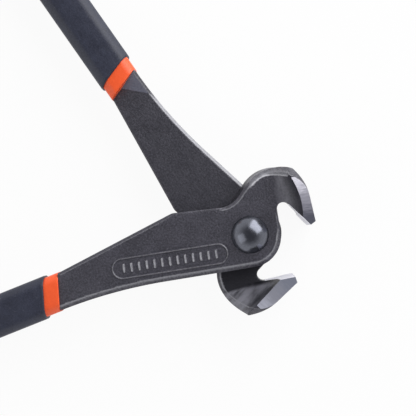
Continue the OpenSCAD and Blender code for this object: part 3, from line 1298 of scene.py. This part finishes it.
@dataclass(frozen=True)
class MeshSteps:
    """How closely a lever's sides are divided.

    A triple is the first place, the last place and the step of a line. A share is part of a feature's width.
    """

    up: Triple = (-2.0, 24.0, 0.3)
    crescent_cut: Triple = (-2.0, 3.0, 0.2)
    ramp: Triple = (-14.0, 14.0, 0.4)
    scoop_lines: int = 18
    scoop_first: float = -0.12
    scoop_bend: float = 1.5
    rim_shifts: tuple[float, ...] = (-0.5, -0.25, 0.0, 0.25, 0.5)
    rib_shifts: tuple[float, ...] = (0.0, -0.16, -0.32)
    flare_shares: tuple[float, ...] = (0.0, 0.12, 0.3, 0.5, 0.68, 0.82, 0.92, 0.97)
    panel_step: float = 0.5
    rib_step: float = 0.22
    bend_share: float = 0.6
    inset_shares: tuple[float, ...] = (1.0, 0.5)
    inset_least: float = 0.12
    inset_clear: float = 0.97
    clear: float = 0.1
    hole_step: float = 0.5
    hole_clear: float = 0.3
    hole_slack: float = 0.02
    rows: Point = (-17.0, 23.0)
    row_share: float = 0.866
    plate_pitch: float = 0.75
    jaw_pitch: float = 0.4
    jaw_start: float = 6.0
    past_edge: float = 3.0
    apart: float = 0.5
    band_slack: float = 0.01


@dataclass
class Lever:
    """The forged lever that both halves of the tool share: plate, jaw and tang.

    Its finishes are forged steel, bevel steel, the two ground sides, ramp steel and the tang's dip.
    """

    sizes: LeverSizes
    finishes: Sequence[bpy.types.Material]
    edges: LeverEdges = LeverEdges()
    marks: SkinMarks = SkinMarks()
    steps: MeshSteps = MeshSteps()
    crisp: float = 24.0

    def __post_init__(self) -> None:
        """Draws the lever once for both halves of the tool."""
        self.form = LeverForm(self.sizes, self.edges, self.marks)
        self.shell = self.forging()

    def features(self, face: Face) -> list[np.ndarray]:
        """Draws the plan lines along which one side's surface bends.

        Args:
            face: side of the lever.

        Returns:
            The lines.
        """
        s, form, steps = self.sizes, self.form, self.steps
        up = np.arange(*steps.up)
        end = form.ground_line(up, face)
        first, last, step = steps.crescent_cut
        ahead = np.arange(s.ground_x + first, s.ground_x + last, step)
        lines = [np.stack([end, up], 1), np.stack([ahead, np.full_like(ahead, form.crescent_top(face))], 1)]
        if face is Face.OUTER:
            bend = np.linspace(steps.scoop_first, 1.0, steps.scoop_lines)[:-1] * steps.scoop_bend
            for share in np.sin(bend) / math.sin(steps.scoop_bend):
                lines.append(np.stack([s.scoop_x + (end - s.scoop_x) * share, up], 1))
            return lines + self.panel_lines()
        start = form.flare_start(up)
        for share in steps.flare_shares:
            lines.append(np.stack([start + (s.ground_x - start) * share, up], 1))
        foot, way, slope = form.ramp_frame()
        across = np.array([-way[1], way[0]])
        for far in (0.0, s.tang_drop / slope):
            lines.append(foot + way * far + across * np.arange(*steps.ramp)[:, None])
        return lines

    def panel_lines(self) -> list[np.ndarray]:
        """Draws the lines along the panel's rim and around its ribs.

        Returns:
            The lines.
        """
        s = self.sizes
        lines = []
        for shift in self.steps.rim_shifts:
            lines.append(self.stadium(s.panel_l - s.rim_w, s.panel_w - s.rim_w, shift * s.rim_w, 0.0))
        for k in np.arange(-s.last_rib, s.last_rib + 1):
            for shift in self.steps.rib_shifts:
                lines.append(self.stadium(s.rib_w, s.rib_l, shift, k * s.rib_pitch))
        return lines

    def stadium(self, length: float, width: float, shift: float, place: float) -> np.ndarray:
        """Draws a line with rounded ends in the panel.

        Args:
            length: its length along the panel.
            width: its width across the panel.
            shift: distance to move it outward.
            place: distance of its middle from the panel's middle.

        Returns:
            The closed line, its first point repeated at the end.
        """
        s = self.sizes
        r = min(length, width) / 2 + shift
        half = abs(length - width) / 2
        step = self.steps.panel_step if length > width else self.steps.rib_step
        bend = step * self.steps.bend_share
        loop = np.vstack([line((-half, -r), (half, -r), step), arc((half, 0), r, -90, 90, bend),
                          line((half, r), (-half, r), step), arc((-half, 0), r, 90, 270, bend)])
        loop = loop if length > width else turned(loop, 90)
        loop = turned(loop + np.array([place, 0]), -s.panel_tilt) - np.array([s.panel_x, s.panel_y])
        return np.vstack([loop, loop[:1]])

    def insets(self, face: Face) -> list[np.ndarray]:
        """Draws the lines along the edge breaks.

        Args:
            face: side of the lever.

        Returns:
            The lines.
        """
        form, steps = self.form, self.steps
        outline = form.outlines[face]
        way = ways(outline)
        inward = np.stack([-way[:, 1], way[:, 0]], 1)
        lines = []
        for share in steps.inset_shares:
            reach = form.breaks[face, "width"] * share
            points = outline + inward * reach[:, None]
            kept = (form.nearest(points, face)[0] > steps.inset_clear * reach) & (reach > steps.inset_least)
            kept &= form.inside(points, face)
            run: list[np.ndarray] = []
            for ok, point in zip(np.append(kept, False), np.vstack([points, points[:1]])):
                if ok:
                    run.append(point)
                elif run:
                    lines.append(np.array(run))
                    run = []
        return lines

    def triangles(self, face: Face) -> tuple[np.ndarray, list[tuple[int, ...]], np.ndarray, np.ndarray]:
        """Divides the plan into triangles that follow one side's features.

        Args:
            face: side of the lever.

        Returns:
            Plan points, triangles, and the indices of the outline's points and of the hole's.
        """
        form, s, steps = self.form, self.sizes, self.steps
        outline = form.outlines[face]
        hole = arc((0, 0), s.hole_r, 0, 360, steps.hole_step)
        plan = [outline, hole]
        n, m = len(outline), len(hole)
        edges = [(i, (i + 1) % n) for i in range(n)] + [(n + i, n + (i + 1) % m) for i in range(m)]
        count = n + m
        for feature in self.insets(face) + self.features(face):
            clear = form.inside(feature, face) & (form.nearest(feature, face)[0] > steps.clear)
            clear &= np.hypot(*feature.T) > s.hole_r + steps.clear
            plan.append(feature[clear])
            index = np.cumsum(clear) - 1 + count
            joined = np.flatnonzero(clear[:-1] & clear[1:])
            edges += [(int(index[i]), int(index[i + 1])) for i in joined]
            count += int(clear.sum())
        plan.append(self.grid(np.vstack(plan), face))
        points = [Vector(p) for p in np.vstack(plan)]
        verts, _, faces, origin, _, _ = delaunay_2d_cdt(points, edges, [list(range(n))], 1, TINY)
        place = {i: k for k, sources in enumerate(origin) for i in sources}
        out = np.array([v[:] for v in verts])
        solid = [np.hypot(*out[list(f)].mean(0)) > s.hole_r - steps.hole_slack for f in faces]
        kept = [tuple(f) for f, ok in zip(faces, solid) if ok]
        return out, kept, np.array([place[i] for i in range(n)]), np.array([place[n + i] for i in range(m)])

    def grid(self, fixed: np.ndarray, face: Face) -> np.ndarray:
        """Scatters plan points over the rest of the lever, closer together on the jaw.

        Args:
            fixed: points that are there already.
            face: side of the lever.

        Returns:
            The added points.
        """
        s, steps = self.sizes, self.steps
        parts = []
        for pitch, low, high in ((steps.plate_pitch, -s.band_x, steps.jaw_start),
                                 (steps.jaw_pitch, steps.jaw_start, s.edge_x + steps.past_edge)):
            for k, y in enumerate(np.arange(*steps.rows, pitch * steps.row_share)):
                x = np.arange(low + (k % 2) * pitch / 2, high, pitch)
                parts.append(np.stack([x, np.full_like(x, y), np.full_like(x, pitch)], 1))
        points = np.vstack(parts)
        keep = self.form.inside(points[:, :2], face)
        keep &= np.hypot(points[:, 0], points[:, 1]) > s.hole_r + steps.hole_clear
        points = points[keep]
        near = np.empty(len(points))
        for k in range(0, len(points), CHUNK):
            part = slice(k, k + CHUNK)
            near[part] = np.linalg.norm(points[part, None, :2] - fixed, axis=2).min(1)
        return points[near > steps.apart * points[:, 2], :2]

    def regions(self, middles: np.ndarray, face: Face) -> list[Region]:
        """Tells which surface each triangle of one side belongs to.

        Args:
            middles: the triangles' middles in plan.
            face: side of the lever.

        Returns:
            Their regions.
        """
        form = self.form
        distance, edge = form.nearest(middles, face)
        ground = middles[:, 0] > form.ground_line(middles[:, 1], face)
        ground &= distance > edge["width"] - self.steps.band_slack
        ground &= middles[:, 1] < form.crescent_top(face)
        if face is Face.OUTER:
            return [Region.OUTER_SIDE if bright else Region.FORGED for bright in ground]
        foot, way, _ = form.ramp_frame()
        ramp = ((middles - foot) @ way > 0) & (middles[:, 0] < 0) & (distance > edge["width"])
        return [Region.LAPPED_SIDE if bright else Region.RAMP if risen else Region.FORGED
                for bright, risen in zip(ground, ramp)]

    def add_side(self, shell: Shell, face: Face) -> tuple[np.ndarray, np.ndarray]:
        """Adds one side of the lever.

        Args:
            shell: mesh to add to.
            face: side of the lever.

        Returns:
            Indices of the outline's points and of the hole's.
        """
        plan, faces, rim, hole = self.triangles(face)
        z, wear = self.form.height(plan, face)
        first = shell.add_points(np.column_stack([plan, z]), wear=wear, **self.form.skin(plan, face))
        middles = np.array([plan[list(f)].mean(0) for f in faces])
        turn = 1 if face is Face.OUTER else -1
        for f, region in zip(faces, self.regions(middles, face)):
            shell.add_faces([[first + i for i in f][::turn]], region)
        return first + rim, first + hole

    def forging(self) -> Shell:
        """Joins both sides, the walls between them, the rivet hole and the tang.

        Returns:
            The closed mesh.
        """
        s = self.sizes
        shell = Shell()
        top, top_hole = self.add_side(shell, Face.OUTER)
        low, low_hole = self.add_side(shell, Face.LAPPED)
        for i in range(len(top)):
            j = (i + 1) % len(top)
            region = Region.BEVEL if self.form.ground[i] else Region.FORGED
            shell.add_faces([(low[i], low[j], top[j], top[i])], region)
        for i in range(len(top_hole)):
            j = (i + 1) % len(top_hole)
            shell.add_faces([(low_hole[j], low_hole[i], top_hole[i], top_hole[j])])
        tang = Bar(s.tang_w, s.tang_t, s.tang_chamfer, s.tang_corner_r)
        shell.add_rings(tang.rings(s, 0.0), Region.DIPPED)
        return shell

    def build(self, stance: Stance) -> bpy.types.Object:
        """Puts the lever in place of one half's CAD node.

        Args:
            stance: where it lies.

        Returns:
            The piece.
        """
        piece = self.shell.build(f"{stance.side.value}_lever_forging", stance, self.finishes, self.crisp)
        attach(piece, stance.body)
        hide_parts(f"{stance.side.value}_lever")
        return piece


@dataclass(frozen=True)
class Bar:
    """Section of the handle, a rectangle with cut and rounded corners, and how it is drawn out to its end."""

    width: float
    thick: float
    chamfer: float
    round_r: float
    least_chamfer: float = 0.05
    round_share: float = 0.4
    round_steps: int = 5
    ring_step: float = 1.6
    slant_l: float = 30.0
    swell_l: float = 6.0
    swell_rings: int = 6
    lip_land: float = 0.8
    lip_angles: tuple[float, ...] = (70, 50, 25, 0)
    end_angles: tuple[float, ...] = (12, 24, 36, 48, 59, 69, 78, 85)
    end_bluntness: float = 0.45

    def section(self, grow: float) -> np.ndarray:
        """Draws the section.

        Args:
            grow: distance to move its sides outward.

        Returns:
            Points across and up, counter-clockwise.
        """
        w, t = self.width / 2 + grow, self.thick / 2 + grow
        c = max(self.least_chamfer, self.chamfer + grow * (2 - math.sqrt(2)))
        corners = np.array([(w, -t + c), (w, t - c), (w - c, t), (c - w, t),
                            (-w, t - c), (-w, c - t), (c - w, -t), (w - c, -t)])
        out = []
        for i, corner in enumerate(corners):
            u, v = corners[i - 1] - corner, corners[(i + 1) % len(corners)] - corner
            far_u, far_v = np.linalg.norm(u), np.linalg.norm(v)
            reach = min(self.round_r, self.round_share * far_u, self.round_share * far_v)
            p, q = corner + u / far_u * reach, corner + v / far_v * reach
            for k in np.linspace(0, 1, self.round_steps):
                out.append((1 - k) ** 2 * p + 2 * k * (1 - k) * corner + k * k * q)
        return np.array(out)

    def ring(self, sizes: LeverSizes, distance: float, grow: float, skew: float, squeeze: Point = (1, 1),
             ahead: float = 0.0) -> np.ndarray:
        """Places a section on the handle.

        Args:
            sizes: the lever's sizes.
            distance: place along the handle, behind the end of the bare steel.
            grow: distance to move its sides outward.
            skew: share of the slant that the sleeves' front edges have.
            squeeze: factors on its width and thickness.
            ahead: distance past that place, straight on.

        Returns:
            The ring's points.
        """
        flat = self.section(grow) * np.array(squeeze)
        centre, heading = sizes.handle_point(distance)
        a = math.radians(heading)
        way, across = np.array([math.cos(a), math.sin(a)]), np.array([-math.sin(a), math.cos(a)])
        slant = skew * math.tan(math.radians(sizes.handle_slope + sizes.band_slant)) * flat[:, 0:1]
        plan = centre + way * (ahead + slant) + across * flat[:, 0:1]
        return np.column_stack([plan, sizes.handle_z + flat[:, 1]])

    def rings(self, sizes: LeverSizes, start: float, grow: float = 0.0, lip: float = 0.0) -> list[np.ndarray]:
        """Draws the rings of a bar that runs to the handle's rounded end.

        Args:
            sizes: the lever's sizes.
            start: where it begins.
            grow: distance to move its sides outward.
            lip: radius of its rounded front edge.

        Returns:
            The rings, front to end.
        """
        end, bead = sizes.handle_l, sizes.bead
        out = []
        for a in np.radians(self.lip_angles) if lip else ():
            back, down = lip * (1 - math.sin(a)), lip * (1 - math.cos(a))
            out.append(self.ring(sizes, start + back, grow - down, 1.0))
        body_start = start + (lip + self.lip_land if lip else 0)
        for distance in np.arange(body_start, end - self.swell_l, self.ring_step):
            skew = float(np.clip(1 - (distance - start) / self.slant_l, 0, 1))
            out.append(self.ring(sizes, distance, grow, skew))
        for share in np.linspace(0, 1, self.swell_rings):
            swell = bead * share * share * (3 - 2 * share)
            out.append(self.ring(sizes, end - self.swell_l * (1 - share), grow + swell, 0.0))
        reach = self.width / 2 + grow + bead
        for a in np.radians(self.end_angles):
            squeeze = (math.cos(a), math.cos(a) ** self.end_bluntness)
            out.append(self.ring(sizes, end, grow + bead, 0.0, squeeze, reach * math.sin(a)))
        return out


@dataclass(frozen=True)
class Grip:
    """The two sleeves of one handle, with the finishes of the inner and the outer one."""

    stance: Stance
    sizes: LeverSizes
    liner: bpy.types.Material
    cover: bpy.types.Material
    liner_wall: float = 0.65
    cover_wall: float = 0.7
    band_l: float = 5.0
    liner_lip: float = 0.35
    cover_lip: float = 0.5
    corner_r: float = 1.3
    slack: float = 0.02
    crisp: float = 40.0

    def sleeve(self, layer: Layer, inner: float, outer: float, start: float, lip: float) -> bpy.types.Object:
        """Builds one sleeve as a closed skin with its cavity.

        Args:
            layer: which of the two it is.
            inner: wall under it.
            outer: wall with it.
            start: where it begins on the handle.
            lip: radius of its front edge.

        Returns:
            The piece.
        """
        s = self.sizes
        bar = Bar(s.tang_w, s.tang_t, s.tang_chamfer, self.corner_r)
        outside = bar.rings(s, start, outer, lip)
        inside = bar.rings(s, start + self.slack, inner + self.slack)
        shell = Shell()
        shell.add_rings(inside[::-1] + outside)
        node = f"{self.stance.side.value}_grip_{layer.value}"
        finish = self.liner if layer is Layer.LINER else self.cover
        piece = shell.build(f"{node}_skin", self.stance, [finish], self.crisp)
        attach(piece, self.stance.body)
        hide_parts(node)
        return piece

    def build(self) -> list[bpy.types.Object]:
        """Builds both sleeves.

        Returns:
            The pieces.
        """
        slope, slant = math.radians(self.sizes.handle_slope), math.radians(self.sizes.band_slant)
        band = self.band_l / (math.cos(slope) - math.sin(slope) * math.tan(slant))
        both = self.liner_wall + self.cover_wall
        return [self.sleeve(Layer.LINER, 0.0, self.liner_wall, 0.0, self.liner_lip),
                self.sleeve(Layer.COVER, self.liner_wall, both, band, self.cover_lip)]


@dataclass(frozen=True)
class Rivet:
    """The pivot rivet: shank, domed head and closed tail."""

    stance: Stance
    shank_r: float = 4.0
    head_r: float = 6.2
    head_h: float = 3.6
    tail_r: float = 5.4
    tail_h: float = 1.2
    plate_t: float = 6.0
    lap_gap: float = 0.1
    seat_gap: float = 0.01
    rim_in: float = 0.04
    head_rim_h: float = 0.12
    tail_rim_h: float = 0.1
    top_angle: float = 0.02
    head_share: float = 0.985
    tail_share: float = 0.97
    head_rows: int = 26
    tail_rows: int = 16
    turn_step: float = 5.0
    crisp: float = 35.0

    @staticmethod
    def dome(radius: float, height: float) -> tuple[float, float]:
        """Fits a ball to a dome: gives its radius and the angle from its top to the dome's foot."""
        ball = (radius ** 2 + height ** 2) / (2 * height)
        return ball, math.asin(radius / ball)

    def profile(self) -> np.ndarray:
        """Draws half of the rivet's section, from the top of the head down.

        Returns:
            Rows of radius and height.
        """
        rows = []
        high, low = self.plate_t, -self.plate_t - self.lap_gap
        ball, edge = self.dome(self.head_r, self.head_h)
        for a in np.linspace(self.top_angle, edge * self.head_share, self.head_rows):
            rows.append((ball * math.sin(a), high + self.head_h - ball * (1 - math.cos(a))))
        rows += [(self.head_r, high + self.head_rim_h), (self.head_r - self.rim_in, high + self.seat_gap),
                 (self.shank_r, high + self.seat_gap), (self.shank_r, low - self.seat_gap),
                 (self.tail_r - self.rim_in, low - self.seat_gap), (self.tail_r, low - self.tail_rim_h)]
        ball, edge = self.dome(self.tail_r, self.tail_h)
        for a in np.linspace(edge * self.tail_share, self.top_angle, self.tail_rows):
            rows.append((ball * math.sin(a), low - self.tail_h + ball * (1 - math.cos(a))))
        return np.array(rows)

    def build(self, finish: bpy.types.Material) -> bpy.types.Object:
        """Builds the rivet.

        Args:
            finish: its steel.

        Returns:
            The piece.
        """
        turn = np.radians(np.arange(0, 360, self.turn_step))
        rings = []
        for r, z in self.profile()[::-1]:
            rings.append(np.column_stack([r * np.cos(turn), r * np.sin(turn), np.full_like(turn, z)]))
        shell = Shell()
        shell.add_rings(rings)
        piece = shell.build("pivot_rivet_head_and_tail", self.stance, [finish], self.crisp)
        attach(piece, self.stance.body)
        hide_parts("pivot_rivet")
        return piece


@dataclass(frozen=True)
class Lamp:
    """A soft square lamp, with its side in metres and its power in watts.

    Its place is right of, up from and above the pivot as the photograph shows it, in metres.
    """

    name: str
    place: Triple
    size: float
    power: float


@dataclass(frozen=True)
class Studio:
    """Floor, light and camera. The camera's lengths are millimetres and its pixels the photograph's."""

    pivot: Triple
    height: float = 300.0
    scale: float = 0.3387
    foot: Point = (252.0, 227.0)
    middle: Point = (208.0, 208.0)
    pivot_px: Point = (250.0, 234.8)
    pivot_up: float = 8.0
    axis: float = 16.6
    sensor: float = 36.0
    near_m: float = 0.005
    floor_half_m: float = 3.0
    floor_drop_m: float = 0.0002
    floor_card: Colour = (0.9, 0.9, 0.9, 1)
    floor_white: float = 0.93
    room_white: Colour = (1.0, 1.0, 1.0, 1)
    room_dim: Colour = (0.15, 0.15, 0.165, 1)
    room_strength: float = 0.9
    lamps: tuple[Lamp, ...] = (Lamp("key_lamp", (0.40, 0.52, 0.36), 0.85, 6.9),
                               Lamp("fill_lamp", (-0.6, -0.25, 0.55), 0.6, 1.0))

    def camera_axes(self) -> tuple[np.ndarray, float]:
        """Works out how the camera is tilted.

        Returns:
            The level axes as rows in the camera's frame, and the focal length in pixels.
        """
        focal = self.height / self.scale
        down = np.array([self.foot[0] - self.middle[0], self.middle[1] - self.foot[1], -focal])
        up = -down / np.linalg.norm(down)
        right = np.array([1.0, 0, 0]) - up * up[0]
        right /= np.linalg.norm(right)
        return np.stack([right, np.cross(up, right), up]), focal

    def add_camera(self) -> None:
        """Adds the camera at the photograph's place."""
        axes, focal = self.camera_axes()
        sight = (self.pivot_px[0] - self.middle[0], self.middle[1] - self.pivot_px[1], -focal)
        ray = axes @ np.array(sight)
        shift = ray[:2] * (self.pivot_up - self.height) / ray[2]
        eye = turned(np.array([[-shift[0], -shift[1], self.height]]), self.axis)[0]
        data = bpy.data.cameras.new("photo_camera")
        data.sensor_fit = "HORIZONTAL"
        data.sensor_width = self.sensor
        data.lens = self.sensor * focal / IMAGE_PX
        data.clip_start = self.near_m
        made = bpy.data.objects.new("photo_camera", data)
        turn = Matrix.Rotation(math.radians(self.axis), 3, "Z") @ Matrix(axes.tolist())
        made.matrix_world = Matrix.Translation((eye * MM + np.array(self.pivot)).tolist()) @ turn.to_4x4()
        bpy.context.scene.collection.objects.link(made)
        bpy.context.scene.camera = made

    def floor_paint(self) -> bpy.types.Material:
        """Builds the floor's paint, which looks white but takes a shadow.

        Returns:
            The material.
        """
        paint = bpy.data.materials.new("pale_floor")
        g = Graph(paint)
        camera, glossy, through = (g.node("ShaderNodeLightPath", None, None, f"Is {ray} Ray")
                                   for ray in ("Camera", "Glossy", "Transmission"))
        seen = (camera + glossy + through).lesser(1.0)
        card = g.node("ShaderNodeBsdfPrincipled", None,
                      {"Base Color": self.floor_card, "Roughness": 0.9, "Specular IOR Level": 0.0})
        white = g.node("ShaderNodeEmission", None, {"Color": (1, 1, 1, 1), "Strength": 1.0})
        both = g.node("ShaderNodeMixShader", None, {0: seen * self.floor_white, 1: card, 2: white})
        g.node("ShaderNodeOutputMaterial", None, {"Surface": both})
        return paint

    def add_floor(self) -> None:
        """Adds the floor that the tool lies on."""
        mesh = bpy.data.meshes.new("pale_floor")
        r = self.floor_half_m
        mesh.from_pydata([(-r, -r, 0), (r, -r, 0), (r, r, 0), (-r, r, 0)], [], [(0, 1, 2, 3)])
        mesh.materials.append(self.floor_paint())
        made = bpy.data.objects.new("pale_floor", mesh)
        made.location.z = -self.floor_drop_m
        bpy.context.scene.collection.objects.link(made)

    def add_lamp(self, lamp: Lamp) -> None:
        """Adds a soft lamp that faces the tool.

        Args:
            lamp: the lamp, placed as the photograph shows right and up.
        """
        data = bpy.data.lights.new(lamp.name, "AREA")
        data.shape = "SQUARE"
        data.size = lamp.size
        data.energy = lamp.power
        made = bpy.data.objects.new(lamp.name, data)
        spot = Vector(turned(np.array([lamp.place]), self.axis)[0]) + Vector(self.pivot)
        aim = (Vector(self.pivot) - spot).to_track_quat("-Z", "Y")
        made.matrix_world = Matrix.Translation(spot) @ aim.to_matrix().to_4x4()
        bpy.context.scene.collection.objects.link(made)

    def add_room(self) -> None:
        """Adds a room that is white at eye level and dimmer overhead."""
        world = bpy.data.worlds.new("studio_room")
        bpy.context.scene.world = world
        g = Graph(world)
        way = g.node("ShaderNodeTexCoord", None, None, "Generated")
        up = g.node("ShaderNodeSeparateXYZ", None, {0: way}, "Z")
        tone = g.mix(up.eased(0.25, 0.95), self.room_white, self.room_dim)
        light = g.node("ShaderNodeBackground", None, {"Color": tone, "Strength": self.room_strength})
        g.node("ShaderNodeOutputWorld", None, {"Surface": light})

    def build(self) -> None:
        """Sets the whole stage."""
        self.add_camera()
        self.add_floor()
        self.add_room()
        for lamp in self.lamps:
            self.add_lamp(lamp)
        bpy.context.scene.view_settings.view_transform = "Standard"


def lever_finishes(dip: bpy.types.Material) -> list[bpy.types.Material]:
    """Builds a lever's finishes in the order of its regions.

    Args:
        dip: the plastic that covers the end wall of its tang.

    Returns:
        The materials.
    """
    bevel = GroundSteel("ground_bevel", (0.78, 0.78, 0.86, 1), (0.72, 0.72, 0.81, 1), (0.74, 0.74, 0.83, 1))
    outer = GroundSteel("ground_outer_side", (0.90, 0.885, 0.98, 1), (0.36, 0.355, 0.415, 1),
                        (0.105, 0.108, 0.14, 1))
    lapped = GroundSteel("ground_lapped_side", (0.49, 0.50, 0.58, 1), (0.305, 0.31, 0.365, 1),
                         (0.23, 0.245, 0.305, 1))
    ramp = ForgedSteel("ramp_steel", (0.155, 0.159, 0.218, 1), (0.212, 0.217, 0.292, 1))
    return [finish.material() for finish in (ForgedSteel(), bevel, outer, lapped, ramp)] + [dip]


def main() -> None:
    """Builds the tool piece by piece and sets its stage."""
    logging.basicConfig(level=logging.INFO, format="%(name)s: %(message)s")
    pivot = tuple(frame["joints"][0]["pos_m"])
    sizes = LeverSizes()
    orange = SleevePlastic("orange_sleeve", (0.98, 0.125, 0.030, 1), (0.92, 0.103, 0.023, 1),
                           (0.98, 0.15, 0.05, 1), roughness=0.42, grain=0.1).material()
    black = SleevePlastic("black_sleeve", (0.036, 0.041, 0.069, 1), (0.013, 0.015, 0.029, 1),
                          (0.075, 0.08, 0.105, 1), roughness=0.5, grain=0.22).material()
    lever = Lever(sizes, lever_finishes(orange))
    pieces = []
    for side in Side:
        stance = Stance(side, pivot)
        pieces += [lever.build(stance), *Grip(stance, sizes, orange, black).build()]
    pieces.append(Rivet(Stance(Side.FRONT, pivot)).build(RivetSteel().material()))
    for piece in pieces:
        log.info("%s: %d faces", piece.name, len(piece.data.polygons))
    Studio(pivot).build()


if __name__ == "__main__":
    main()
